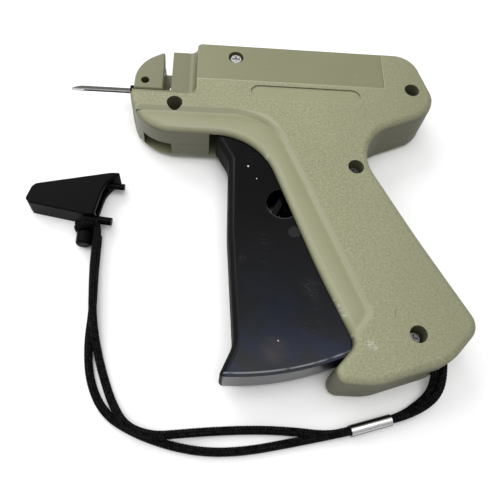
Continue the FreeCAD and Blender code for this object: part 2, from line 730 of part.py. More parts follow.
outer_route = [(67.0, -38.4, 11.5), (70.1, -38.4, 11.5), (70.2, -46.0, 11.5), (70.6, -51.6, 9.8),
               (70.0, -56.2, 7.0), (67.4, -59.8, 5.4), (63.0, -62.8, 4.6), (57.4, -65.4, 3.9),
               (50.5, -67.4, 3.4), (35.5, -71.44, 3.4), (26.5, -73.9, 1.9), (14.0, -76.6, 1.7),
               (-2.0, -79.0, 1.7), (-16.0, -79.0, 1.7), (-29.0, -76.7, 1.7), (-41.0, -72.6, 1.7),
               (-51.5, -66.5, 1.7), (-57.7, -55.5, 1.7), (-60.0, -42.0, 1.7), (-59.8, -28.0, 1.7),
               (-60.9, -13.0, 1.7), (-61.1, 2.0, 1.7)]
inner_route = [(67.0, -38.4, 11.5), (63.9, -38.4, 11.5), (64.1, -46.0, 11.5), (66.4, -51.8, 9.3),
               (67.0, -55.6, 5.8), (65.2, -58.9, 3.6), (61.4, -61.8, 2.5), (56.8, -64.9, 2.1),
               (50.5, -67.4, 2.1), (35.5, -71.44, 2.1), (27.0, -72.9, 1.9), (15.0, -71.6, 1.7),
               (2.0, -71.2, 1.7), (-12.0, -71.8, 1.7), (-24.0, -73.0, 3.2), (-34.0, -74.2, 4.9),
               (-43.5, -71.0, 4.6), (-49.2, -62.6, 1.9), (-53.4, -52.6, 1.7), (-56.6, -43.0, 2.6),
               (-59.0, -32.0, 5.0), (-60.2, -20.0, 5.0), (-61.1, -9.0, 5.0), (-61.1, 2.0, 5.0)]


def strand(name, route):
    """A strand of the strap: straight runs joined by tangent arcs as large as the runs allow."""
    points = [on_table(*point) for point in route]
    edges = []
    here = points[0]
    length = 0.0
    radii = []
    for before, corner, after in zip(points, points[1:], points[2:]):
        back, onward = before - corner, after - corner
        shorter = min(back.Length, onward.Length)
        back.normalize()
        onward.normalize()
        half = back.getAngle(onward) / 2
        round_pin = strap_pin_radius + strap_radius
        radius = round_pin * 0.95 if corner == points[1] else 0.45 * shorter * math.tan(half)
        cut = radius / math.tan(half)
        nearest = corner + (back + onward).normalize() * (radius / math.sin(half) - radius)
        start, end = corner + back * cut, corner + onward * cut
        if here.distanceToPoint(start) > 1e-6:
            edges.append(Part.LineSegment(here, start).toShape())
        edges.append(Part.Arc(start, nearest, end).toShape())
        radii.append(round(radius, 1))
        here = end
    edges.append(Part.LineSegment(here, points[-1]).toShape())
    path = Part.Wire(edges)
    section = math.pi * strap_radius ** 2
    corner_radius = math.sqrt(2 * section / (strap_sides * math.sin(2 * math.pi / strap_sides)))
    ring = Part.makeCircle(corner_radius, points[0], points[1] - points[0])
    profile = Part.makePolygon(ring.discretize(strap_sides + 1))
    tube = path.makePipeShell([profile], True, False)
    print(name, "radii", radii, "length", round(path.Length, 1), "volume", round(tube.Volume, 1),
          "of", round(section * path.Length, 1))
    return tube


def ferrule():
    """A pressed steel tube that holds the two strands together, one on the other."""
    along = Vector(ferrule_end[0] - ferrule_start[0], ferrule_end[1] - ferrule_start[1], 0)
    low, high = ferrule_low, ferrule_low + stack_step
    tubes = []
    for radius in (strap_radius + ferrule_wall, strap_radius):
        rods = [Part.makeCylinder(radius, along.Length, on_table(*ferrule_start, height), along)
                for height in (low, high)]
        web = Part.makeBox(along.Length, 2 * radius, high - low, Vector(0, -radius, 0))
        web.rotate(Vector(0, 0, 0), ACROSS, math.degrees(math.atan2(along.y, along.x)))
        web.translate(on_table(*ferrule_start, low))
        tubes.append(rods[0].fuse([rods[1], web]).removeSplitter())
    return tubes[0].cut(tubes[1])


def strap_hitch():
    """The strap's end: the two strands run into two turns of braid round the cap's peg."""
    x, height = cap_peg
    reach = stem_radius + strap_radius
    turns = [Part.makeTorus(reach, strap_radius, on_table(x, place, height), Vector(0, 1, 0))
             for place in hitch_places]
    ends = []
    for strand_height in (outer_route[-1][2], inner_route[-1][2]):
        start = on_table(outer_route[-1][0], hitch_end, strand_height)
        end = on_table(x + reach, hitch_places[0], strand_height)
        onward = on_table(x + reach, hitch_places[1], height)
        ends += [Part.makeCylinder(strap_radius, (end - start).Length, start, end - start),
                 Part.makeCylinder(strap_radius, (onward - end).Length, end, onward - end),
                 Part.makeSphere(strap_radius, end)]
    return turns[0].fuse([turns[1], *ends]).removeSplitter()


def needle_cap():
    """A hollow moulded cap with two prongs and a headed peg for the strap."""
    x, height = cap_peg
    foot = outline((-90.0, 15.2, 0.8), (-88.5, 20.7, 0.8), (-86.9, 22.3, 0.8), (-58.0, 28.8, 12),
                   (-53.4, 28.9, 0.5), (-60.0, 24.0, 14), (-62.9, 8.8, 1.6), (-66.6, 9.0, 8),
                   (-88.4, 13.2, 0.8))
    body = slab(foot, 0, cap_height)
    body = body.makeFillet(0.6, [edge for edge in body.Edges if at_height(edge, cap_height)])
    room = slab(outline((-88.0, 15.6, 1.5), (-86.4, 20.6, 1.5), (-61.0, 26.0, 1.5), (-56.0, 20.0),
                        (-58.0, 11.0), (-67.0, 11.0, 1.5)), cap_wall, cap_height - cap_wall)
    prongs = [Part.makeCylinder(1.35, 7.6, Vector(-60.0, 25.0, height), Vector(1, -0.07, 0)),
              Part.makeCylinder(1.6, 9.4, Vector(-65.4, 9.2, height), Vector(1, -0.12, 0))]
    stem = Part.makeCylinder(stem_radius, 10.0 - peg_top, Vector(x, peg_top, height), Vector(0, 1, 0))
    head = Part.makeCylinder(peg_radius, peg_length, Vector(x, peg_top - peg_length, height),
                             Vector(0, 1, 0))
    rim = [edge for edge in head.Edges if abs(edge.BoundBox.YMax - (peg_top - peg_length)) < 1e-4]
    head = head.makeFillet(1.2, rim)
    solid = body.cut(room).fuse(prongs + [stem, head]).removeSplitter()
    solid.translate(Vector(0, 0, -half_thickness))
    return solid


# ---------------------------------------------------------------- the whole tool
def build():
    """Every piece under its node's name, as drawn."""
    solids = {
        "left_housing": left_housing(),
        "right_housing": right_housing(),
        "trigger_axle": pin(pivot, axle_radius, side_depth + 0.9),
        "strap_pin": pin(strap_pin, strap_pin_radius, side_depth + 0.9),
        "needle": needle(),
        "needle_base": needle_base(),
        "knife_blade": knife_blade(),
        "needle_lock_lever": needle_lock_lever(),
        "rear_buffer": rubber_buffer(),
        "trigger": trigger(),
        "trigger_link_pin": pin(link_pin, link_pin_radius, trigger_half),
        "drive_link": drive_link(),
        "drive_lever": drive_lever(),
        "lever_crank_pin": pin(lever_pin, pin_radius, link_half - 0.1),
        "lever_drive_pin": pin(drive_pin, pin_radius, slide_half - 0.3),
        "slide_carrier": slide(),
        "push_rod": push_rod(),
        "feed_pawl": feed_pawl(),
        "lever_spring": lever_spring(),
        "pawl_spring": pawl_spring(),
    }
    for name, place in screws.items():
        solids[name + "_screw"] = housing_screw(*place)
    cords = {
        "strap_outer_strand": strand("outer strand", outer_route),
        "strap_inner_strand": strand("inner strand", inner_route),
        "strap_hitch": strap_hitch(),
        "ferrule": ferrule(),
        "needle_cap": needle_cap(),
    }
    return solids, cords


def main():
    solids, cords = build()
    bounds = Part.Compound(list(solids.values())).optimalBoundingBox()
    shift = Vector(-(bounds.XMin + bounds.XMax) / 2, -(bounds.YMin + bounds.YMax) / 2, half_thickness)
    print("shift", [round(value, 3) for value in shift])
    os.makedirs("parts", exist_ok=True)
    for name, shape in {**solids, **cords}.items():
        whole = shape.Solids[0] if len(shape.Solids) == 1 else shape
        whole = whole.copy()
        whole.translate(shift)
        whole.exportStep("parts/" + name + ".step")
        print(name, whole.isValid(), len(whole.Solids), round(whole.Volume, 1))


if __name__ == "__main__":
    main()
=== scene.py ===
import math

import bmesh
import bpy
from mathutils import Matrix, Vector


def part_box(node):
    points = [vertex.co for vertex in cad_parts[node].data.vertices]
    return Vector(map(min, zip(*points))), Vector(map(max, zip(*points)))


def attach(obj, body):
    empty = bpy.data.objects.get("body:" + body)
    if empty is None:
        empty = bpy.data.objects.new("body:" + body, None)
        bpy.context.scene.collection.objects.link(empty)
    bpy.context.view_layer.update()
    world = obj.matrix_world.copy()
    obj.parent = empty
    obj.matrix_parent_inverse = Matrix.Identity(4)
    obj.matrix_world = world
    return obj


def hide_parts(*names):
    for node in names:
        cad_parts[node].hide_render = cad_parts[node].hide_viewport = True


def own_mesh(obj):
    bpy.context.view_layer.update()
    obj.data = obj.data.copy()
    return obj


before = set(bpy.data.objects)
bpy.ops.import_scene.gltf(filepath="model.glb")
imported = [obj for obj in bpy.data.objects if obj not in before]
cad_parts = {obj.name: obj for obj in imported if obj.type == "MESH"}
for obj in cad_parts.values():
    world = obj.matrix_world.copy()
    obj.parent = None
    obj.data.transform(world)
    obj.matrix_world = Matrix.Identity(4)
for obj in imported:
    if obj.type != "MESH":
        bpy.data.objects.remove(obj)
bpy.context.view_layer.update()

scene = bpy.context.scene

# ---------------------------------------------------------------- where the tool lies
# The tool lies on its right side.  It is drawn in millimetres, with X back along the barrel, Y up to
# the barrel's top and heights above the surface; the trigger's axle ties the drawing to the model.
mm = 0.001
drawn_axle = Vector((-8.0, 50.0, 0.0))
axle_low, axle_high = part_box("trigger_axle")
drawing_origin = (axle_low + axle_high) / 2 - drawn_axle * mm
drawing_origin.z = 0.0
thickness = 23.0
joint_height = thickness / 2


def at(x, y, height):
    """A point of the drawing, in the model's metres."""
    return drawing_origin + Vector((x, y, height)) * mm


# ---------------------------------------------------------------- camera
# A short telephoto above the trigger's side, tipped so that the tool's underside shows.  The surface's
# upright is given as the camera sees it: right, down and forward.  The barrel runs to its right.
camera_place = at(-17.49, -100.78, 210.0)
seen_upright = Vector((0.083, -0.430, -0.8991)).normalized()
seen_along = (Vector((1, 0, 0)) - seen_upright * seen_upright.x).normalized()
seen_across = seen_upright.cross(seen_along)
right, down, forward = (Vector(axis) for axis in zip(seen_along, seen_across, seen_upright))
turned = Matrix((right, -down, -forward)).transposed().to_4x4()
camera = bpy.data.cameras.new("camera")
camera.lens = 41.04
camera.sensor_width = 36.0
camera_stand = bpy.data.objects.new("camera", camera)
camera_stand.matrix_world = Matrix.Translation(camera_place) @ turned
scene.collection.objects.link(camera_stand)
scene.camera = camera_stand

# ---------------------------------------------------------------- the strap's two braided strands
# A black cord of sixteen yarns, plaited over two and under two.  It comes out of the butt doubled,
# goes through the steel ferrule, and lies on the surface in a wide loop up to the needle cap.
strand_radius = 1.6
outer_route = [(67.0, -38.4, 11.5), (70.1, -38.4, 11.5), (70.0, -46.0, 11.5), (69.8, -51.6, 9.8),
               (69.4, -56.0, 7.0), (67.2, -59.7, 5.4), (63.0, -62.8, 4.6), (57.4, -65.4, 3.9),
               (50.5, -67.4, 3.4), (35.5, -71.44, 3.4), (25.8, -73.3, 1.9), (14.0, -75.6, 1.7),
               (-2.0, -78.5, 1.7), (-16.0, -79.0, 1.7), (-29.0, -76.7, 1.7), (-41.0, -72.6, 1.7),
               (-51.5, -66.5, 1.7), (-57.7, -55.5, 1.7), (-60.0, -42.0, 1.7), (-59.8, -28.0, 1.7),
               (-60.9, -13.0, 1.7), (-61.1, 2.0, 1.7)]
inner_route = [(67.0, -38.4, 11.5), (63.9, -38.4, 11.5), (65.6, -46.0, 11.5), (67.1, -51.2, 9.3),
               (66.9, -55.4, 5.8), (65.1, -58.8, 3.6), (61.4, -61.8, 2.5), (56.8, -64.9, 2.1),
               (50.5, -67.4, 2.1), (35.5, -71.44, 2.1), (27.0, -72.9, 1.9), (15.0, -71.6, 1.7),
               (2.0, -71.2, 1.7), (-12.0, -71.8, 1.7), (-24.0, -73.0, 3.2), (-34.0, -74.2, 4.9),
               (-43.5, -71.0, 4.6), (-49.2, -62.6, 1.9), (-53.4, -52.6, 1.7), (-56.6, -43.0, 2.6),
               (-59.0, -32.0, 5.0), (-60.2, -20.0, 5.0), (-61.1, -9.0, 5.0), (-61.1, 2.0, 5.0)]


class Signal:
    """A socket in a node tree.  Arithmetic on it adds Math nodes."""

    def __init__(self, graph, socket):
        self.graph = graph
        self.socket = socket

    def calc(self, operation, *others):
        """A Math node that takes this socket first."""
        return self.graph.math(operation, self, *others)

    def __add__(self, other):
        return self.calc("ADD", other)

    def __radd__(self, other):
        return self.graph.math("ADD", other, self)

    def __sub__(self, other):
        return self.calc("SUBTRACT", other)

    def __rsub__(self, other):
        return self.graph.math("SUBTRACT", other, self)

    def __mul__(self, other):
        return self.calc("MULTIPLY", other)

    def __rmul__(self, other):
        return self.graph.math("MULTIPLY", other, self)

    def __truediv__(self, other):
        return self.calc("DIVIDE", other)

    def __mod__(self, other):
        return self.calc("MODULO", other)


class Graph:
    """A node tree that is built by naming each node with its settings and what goes into it."""

    def __init__(self, tree):
        self.tree = tree

    def node(self, kind, settings=None, inputs=None, output=0):
        """A node of this type, with its settings, and a value or a link for each input named."""
        made = self.tree.nodes.new(kind)
        for name, value in (settings or {}).items():
            setattr(made, name, value)
        for name, value in (inputs or {}).items():
            if isinstance(value, Signal):
                self.tree.links.new(value.socket, made.inputs[name])
            else:
                made.inputs[name].default_value = value
        return Signal(self, made.outputs[output]) if len(made.outputs) else made

    def math(self, operation, *terms):
        return self.node("ShaderNodeMath", {"operation": operation}, dict(enumerate(terms)))

    def other(self, signal, output):
        """Another output of the node that a signal comes from."""
        return Signal(self, signal.socket.node.outputs[output])


def braid_tree(material):
    """Geometry nodes that plait yarns round the line that the piece is drawn as."""
    tree = bpy.data.node_groups.new("braid", "GeometryNodeTree")
    graph = Graph(tree)
    tree.interface.new_socket("Line", in_out="INPUT", socket_type="NodeSocketGeometry")
    sizes = ("Radius", "Yarn Width", "Yarn Thickness", "Lay Length", "Step")
    for name in sizes:
        tree.interface.new_socket(name, in_out="INPUT", socket_type="NodeSocketFloat")
    tree.interface.new_socket("Yarns", in_out="INPUT", socket_type="NodeSocketInt")
    tree.interface.new_socket("Braid", in_out="OUTPUT", socket_type="NodeSocketGeometry")
    line = graph.node("NodeGroupInput", output="Line")
    radius, width, thick, lay, step, yarns = (graph.other(line, name) for name in (*sizes, "Yarns"))
    curve = graph.node("GeometryNodeMeshToCurve", None, {"Mesh": line})
    curve = graph.node("GeometryNodeSetCurveNormal", None, {"Curve": curve})
    curve = graph.node("GeometryNodeResampleCurve", {"mode": "LENGTH"}, {"Curve": curve, "Length": step})
    stored = curve
    fields = {"along": ("FLOAT", graph.node("GeometryNodeSplineParameter", output="Length")),
              "normal": ("FLOAT_VECTOR", graph.node("GeometryNodeInputNormal")),
              "tangent": ("FLOAT_VECTOR", graph.node("GeometryNodeInputTangent"))}
    for name, (data_type, field) in fields.items():
        stored = graph.node("GeometryNodeStoreNamedAttribute", {"data_type": data_type},
                            {"Geometry": stored, "Name": name, "Value": field})
    copies = graph.node("GeometryNodeDuplicateElements", {"domain": "SPLINE"},
                        {"Geometry": stored, "Amount": yarns})
    copy_number = graph.other(copies, "Duplicate Index")
    copies = graph.node("GeometryNodeStoreNamedAttribute", {"data_type": "FLOAT", "domain": "CURVE"},
                        {"Geometry": copies, "Name": "yarn", "Value": copy_number})
    along, yarn, normal, tangent = (
        graph.node("GeometryNodeInputNamedAttribute", {"data_type": data_type}, {"Name": name})
        for name, data_type in (("along", "FLOAT"), ("yarn", "FLOAT"), ("normal", "FLOAT_VECTOR"),
                                ("tangent", "FLOAT_VECTOR")))
    way = 1 - 2 * (yarn % 2)
    pair = (yarn / 2).calc("FLOOR")
    pairs = yarns / 2
    turns = along / lay
    angle = 2 * math.pi * (way * turns + pair / pairs)
    weave = 2 * pair + way * 2 * pairs * turns
    over = way * ((weave - 0.5) * (math.pi / 2)).calc("COSINE")
    swing = thick * 0.45
    height = radius - thick / 2 - swing + swing * over
    copies = graph.node("GeometryNodeStoreNamedAttribute", {"data_type": "FLOAT"},
                        {"Geometry": copies, "Name": "over", "Value": over})
    side = graph.node("ShaderNodeVectorMath", {"operation": "CROSS_PRODUCT"}, {0: tangent, 1: normal})
    spokes = [graph.node("ShaderNodeVectorMath", {"operation": "SCALE"}, {0: axis, "Scale": part})
              for axis, part in ((normal, angle.calc("COSINE")), (side, angle.calc("SINE")))]
    spoke = graph.node("ShaderNodeVectorMath", {"operation": "ADD"}, {0: spokes[0], 1: spokes[1]})
    offset = graph.node("ShaderNodeVectorMath", {"operation": "SCALE"}, {0: spoke, "Scale": height})
    placed = graph.node("GeometryNodeSetPosition", None, {"Geometry": copies, "Offset": offset})
    placed = graph.node("GeometryNodeSetCurveNormal", {"mode": "FREE"}, {"Curve": placed, "Normal": spoke})
    circle = graph.node("GeometryNodeCurvePrimitiveCircle", None, {"Resolution": 6, "Radius": 0.5})
    section_size = graph.node("ShaderNodeCombineXYZ", None, {"X": thick, "Y": width, "Z": 1.0})
    section = graph.node("GeometryNodeTransform", None, {"Geometry": circle, "Scale": section_size})
    yarn_mesh = graph.node("GeometryNodeCurveToMesh", None,
                           {"Curve": placed, "Profile Curve": section, "Fill Caps": True})
    yarn_mesh = graph.node("GeometryNodeSetShadeSmooth", None, {"Geometry": yarn_mesh})
    yarn_mesh = graph.node("GeometryNodeRealizeInstances", None, {"Geometry": yarn_mesh})
    yarn_mesh = graph.node("GeometryNodeSetMaterial", None, {"Geometry": yarn_mesh, "Material": material})
    graph.node("NodeGroupOutput", None, {"Braid": yarn_mesh})
    return tree


class Finish(Graph):
    """A material whose last node is one Principled surface."""

    def __init__(self, name, **constants):
        self.material = bpy.data.materials.new(name)
        self.material.use_nodes = True
        super().__init__(self.material.node_tree)
        self.surface = self.tree.nodes["Principled BSDF"]
        for socket, value in constants.items():
            self.surface.inputs[socket.replace("_", " ")].default_value = value
        self.place = self.node("ShaderNodeTexCoord", output="Object")
        apart = self.node("ShaderNodeSeparateXYZ", None, {0: self.place})
        self.x, self.y, self.z = (self.other(apart, axis) for axis in "XYZ")

    def set(self, socket, signal):
        self.tree.links.new(signal.socket, self.surface.inputs[socket])

    def noise(self, size, detail=2.0, rough=0.5, place=None):
        """Cloudy variation from 0 to 1 with features of this size, in millimetres."""
        return self.node("ShaderNodeTexNoise", None,
                         {"Vector": place or self.place, "Scale": 1 / (size * mm), "Detail": detail,
                          "Roughness": rough})

    def step(self, signal, low, high):
        """0 below one value and 1 above another, smooth between them."""
        return self.node("ShaderNodeMapRange", {"interpolation_type": "SMOOTHSTEP"},
                         {"Value": signal, "From Min": low, "From Max": high})

    def mix(self, part, first, second):
        """One colour over another."""
        return self.node("ShaderNodeMix", {"data_type": "RGBA"}, {0: part, 6: first, 7: second}, output=2)

    def facing(self, axis):
        """How much the surface faces along one axis, from -1 to 1."""
        normal = self.node("ShaderNodeNewGeometry", output="Normal")
        return self.node("ShaderNodeSeparateXYZ", None, {0: normal}, output=axis)

    def relief(self, height, depth, edge=0.0):
        """Bumps as deep as this, on edges softened by this radius, both in millimetres."""
        inputs = {"Height": height, "Distance": depth * mm, "Strength": 1.0}
        if edge:
            inputs["Normal"] = self.node("ShaderNodeBevel", {"samples": 6}, {"Radius": edge * mm})
        self.set("Normal", self.node("ShaderNodeBump", None, inputs))


def braid_finish():
    """Black yarn with a painted highlight on the tops of the crossings, in patches."""
    finish = Finish("black_braid", Specular_IOR_Level=0.05)
    yarn = finish.node("ShaderNodeAttribute", {"attribute_name": "yarn"}, output="Fac")
    fibres = finish.noise(0.09, 3.0)
    dust = finish.step(finish.noise(9.0), 0.5, 0.8)
    over = finish.node("ShaderNodeAttribute", {"attribute_name": "over"}, output="Fac")
    # Painted highlight: the tops of the crossings are lighter, in patches.
    lit_crossing_tops = finish.step(over, 0.3, 1.0) * finish.step(finish.noise(1.6, 2.0), 0.35, 0.6)
    shade = 0.08 * fibres + 0.06 * dust + 0.6 * lit_crossing_tops + 0.03 * (yarn % 3)
    finish.set("Base Color", finish.mix(shade, (0.0003, 0.0003, 0.0004, 1), (0.018, 0.018, 0.020, 1)))
    finish.set("Roughness", 0.55 + 0.25 * fibres)
    finish.relief(fibres, depth=0.06)
    return finish.material


def centre_line(route):
    """A mesh of points close together on the smooth line that the route's points shape."""
    curve = bpy.data.curves.new("line", "CURVE")
    curve.dimensions = "3D"
    curve.resolution_u = 16
    spline = curve.splines.new("NURBS")
    spline.points.add(len(route) - 1)
    for point, place in zip(spline.points, route):
        point.co = (*at(*place), 1.0)
    spline.order_u = 3
    spline.use_endpoint_u = True
    holder = bpy.data.objects.new("line", curve)
    scene.collection.objects.link(holder)
    bpy.context.view_layer.update()
    mesh = bpy.data.meshes.new_from_object(holder)
    bpy.data.objects.remove(holder)
    return mesh


def finished(piece):
    """The piece with its modifiers worked into a plain mesh."""
    bpy.context.view_layer.update()
    shaped = piece.evaluated_get(bpy.context.evaluated_depsgraph_get())
    mesh = bpy.data.meshes.new_from_object(shaped)
    piece.modifiers.clear()
    piece.data = mesh
    return piece


black_braid = braid_finish()
plait = braid_tree(black_braid)
plait_sizes = {"Radius": strand_radius * mm, "Yarn Width": 0.92 * mm, "Yarn Thickness": 0.38 * mm,
               "Lay Length": 9.5 * mm, "Step": 0.36 * mm, "Yarns": 16}


def braided(name, route):
    """One strand: its line, and the yarns plaited round it."""
    line = centre_line(route)
    points = [vertex.co.copy() for vertex in line.vertices]
    strand = bpy.data.objects.new(name, line)
    scene.collection.objects.link(strand)
    plaiting = strand.modifiers.new("braid", "NODES")
    plaiting.node_group = plait
    for item in plait.interface.items_tree:
        if item.in_out == "INPUT" and item.name in plait_sizes:
            plaiting[item.identifier] = plait_sizes[item.name]
    return finished(strand), points


def length_of(points):
    """The length of the line through these points."""
    return sum((b - a).length for a, b in zip(points, points[1:]))


# The strap's end: the two strands run into one braid that goes twice round the stem of the cap's peg.
# Its line cuts inside the corners of its route, so they lie a little outside the turns.
stem_x, stem_height = -65.9, 4.6
turn_radius = 2.9
corner_radius = 1.08 * turn_radius
first_turn, last_turn = 4.1, 7.4
steps_a_turn = 8
hitch_steps = 2 * steps_a_turn
hitch_route = [outer_route[-1], (stem_x + 4.2, 3.6, 2.0)]
for step in range(1, hitch_steps - 1):
    angle = -math.pi / 4 - 2 * math.pi * step / steps_a_turn
    hitch_route.append((stem_x + corner_radius * math.cos(angle),
                        first_turn + (last_turn - first_turn) * step / hitch_steps,
                        stem_height + corner_radius * math.sin(angle)))
hitch_route += [(stem_x + 3.4, 7.2, 5.6), (stem_x + 4.7, 5.2, 5.6), inner_route[-1]]
strap_end, _ = braided("strap_end", hitch_route)
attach(strap_end, "housing")
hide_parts("strap_hitch")

strands = {}
for name, route, node in (("outer_braid", outer_route, "strap_outer_strand"),
                          ("inner_braid", inner_route, "strap_inner_strand")):
    strand, points = braided(name, route)
    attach(strand, "housing")
    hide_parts(node)
    strands[name] = strand, points

# ---------------------------------------------------------------- floor and light
# The tool lies on a white sheet in a light tent: one large soft light overhead, one as strong beyond
# the barrel's top, a weaker one at the needle's end, and white cloth all round.
floor_reach = 4.0
floor_corners = [(x * floor_reach, y * floor_reach, 0.0) for x, y in ((-1, -1), (1, -1), (1, 1), (-1, 1))]
floor_mesh = bpy.data.meshes.new("floor")
floor_mesh.from_pydata(floor_corners, [], [(0, 1, 2, 3)])
floor = bpy.data.objects.new("floor", floor_mesh)
scene.collection.objects.link(floor)
paper = Finish("white_sheet", Roughness=0.9, Specular_IOR_Level=0.1)
paper.set("Base Color", paper.mix(paper.noise(60.0), (0.93, 0.93, 0.93, 1), (0.96, 0.96, 0.96, 1)))
floor_mesh.materials.append(paper.material)


def softbox(name, place, size, power):
    """A square soft light that faces the tool."""
    lamp = bpy.data.lights.new(name, "AREA")
    lamp.size = size
    lamp.energy = power
    towards_tool = Vector((0, 0, 0)) - Vector(place)
    stand = bpy.data.objects.new(name, lamp)
    stand.location = place
    stand.rotation_euler = towards_tool.to_track_quat("-Z", "Y").to_euler()
    scene.collection.objects.link(stand)


softbox("tent_top", (0, -0.12, 1.3), 0.9, 8.3)
softbox("tent_rear", (-0.6, 0.9, 0.9), 0.9, 8.3)
softbox("tent_side", (-0.9, 0.1, 0.7), 0.6, 2.5)
cloth_glow, overhead_glow = 0.27, 0.40
tent = bpy.data.worlds.new("tent")
tent.use_nodes = True
cloth = Graph(tent.node_tree)
direction = cloth.node("ShaderNodeTexCoord", output="Generated")
height = cloth.node("ShaderNodeSeparateXYZ", None, {0: direction}, output="Z")
glow = cloth_glow + overhead_glow * height.calc("MAXIMUM", 0.0)
backdrop = tent.node_tree.nodes["Background"].inputs
backdrop["Color"].default_value = (1.0, 1.0, 1.0, 1)
cloth.tree.links.new(glow.socket, backdrop["Strength"])
scene.world = tent
scene.view_settings.view_transform = "Standard"

# ---------------------------------------------------------------- housing halves
# Two shells moulded in olive ABS: fine spark grain on the barrel and the handle, and smooth on the
# sunk panel, the finger band and the nose.  They are screwed together from the left.
barrel_front, barrel_top, ledge_height = -24.6, 88.5, 60.6
panel_low, panel_rear = 69.0, 56.5
band_low_end, band_high_end, band_foot = (40.7, -33.5), (7.1, 51.9), (33.2, -44.0)
high_bend, low_bend = 18.0, 3.0
slot_middle, slot_length, slot_width = (22.0, 63.0), 47.0, 7.3
merge_distance, crease_angle = 0.0005, 30.0
# The last of these colours is used only for painted highlights.
olive, light_olive = (0.236, 0.240, 0.139, 1), (0.275, 0.277, 0.167, 1)
deep_olive, highlight_olive = (0.126, 0.130, 0.067, 1), (0.400, 0.395, 0.290, 1)


def dress(node, name, material, body):
    """A merged copy of a piece, smooth over its curved faces, that shows in the piece's place."""
    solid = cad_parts[node].data
    mesh = bpy.data.meshes.new(name)
    corners = [vertex.co for vertex in solid.vertices]
    mesh.from_pydata(corners, [], [face.vertices for face in solid.polygons])
    piece = bpy.data.objects.new(name, mesh)
    scene.collection.objects.link(piece)
    merged = bmesh.new()
    merged.from_mesh(mesh)
    bmesh.ops.remove_doubles(merged, verts=merged.verts, dist=merge_distance * mm)
    merged.to_mesh(mesh)
    merged.free()
    mesh.shade_smooth()
    mesh.set_sharp_from_angle(angle=math.radians(crease_angle))
    mesh.materials.append(material)
    shading = piece.modifiers.new("shading", "WEIGHTED_NORMAL")
    shading.keep_sharp = True
    finished(piece)
    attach(piece, body)
    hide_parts(node)
    return piece


def fade(finish, axis, low, high):
    """0 before one place along an axis of the drawing and 1 beyond another."""
    start, end = (getattr(at(place, place, place), axis) for place in (low, high))
    return finish.step(getattr(finish, axis), start, end)


def box_mask(finish, low, high, blur=0.4):
    """1 inside a rectangle of the drawing and 0 outside it."""
    across, up = (
        fade(finish, axis, start - blur, start + blur) * (1 - fade(finish, axis, end - blur, end + blur))
        for axis, start, end in zip("xy", low, high))
    return across * up


def spot(finish, x, y, radius, soft=0.5):
    """1 near a place of the drawing and 0 away from it."""
    centre = at(x, y, 0)
    across = finish.x - centre.x
    up = finish.y - centre.y
    distance = (across * across + up * up).calc("SQRT")
    return 1 - finish.step(distance, radius * (1 - soft) * mm, radius * mm)


def scratches(finish, angle, length, width, amount):
    """Fine straight marks in one direction: 1 on a mark and 0 between the marks."""
    turned = finish.node("ShaderNodeMapping", None,
                         {"Vector": finish.place, "Rotation": (0.3, 0.2, math.radians(angle)),
                          "Scale": (1 / length, 1 / width, 1 / width)})
    return finish.step(finish.noise(1.0, 1.0, place=turned), 1 - amount, 1 - amount + 0.03)


def spots(finish, places, soft=0.5):
    """1 near any of these places, each with its own radius, and 0 elsewhere."""
    near = None
    for x, y, radius in places:
        one = spot(finish, x, y, radius, soft)
        near = one if near is None else near.calc("MAXIMUM", one)
    return near


def rim_scuffs(finish, *places):
    """1 in ragged patches at these places and 0 elsewhere."""
    return spots(finish, places, 0.8) * finish.step(finish.noise(0.45, 3.0, 0.65), 0.48, 0.60)


def beyond(finish, start, end):
    """How far a place is to the right of the line from one place to another, in metres."""
    first, last = at(*start, 0), at(*end, 0)
    run, rise = last.x - first.x, last.y - first.y
    size = math.hypot(run, rise)
    return (finish.x - first.x) * (rise / size) - (finish.y - first.y) * (run / size)


def off_band(finish):
    """How far a place is outside the finger band, in metres, and below 0 on the band."""
    above = finish.y - at(*band_high_end, 0).y
    edge = beyond(finish, band_low_end, band_high_end).calc("SMOOTH_MAX", above, high_bend * mm)
    return edge.calc("SMOOTH_MAX", beyond(finish, band_foot, band_low_end), low_bend * mm)


def stripe(finish, distance, rises, falls):
    """1 on a line along an edge, between the distances where it rises and where it falls."""
    near, far = (finish.step(distance, first * mm, last * mm) for first, last in (rises, falls))
    return near * (1 - far)


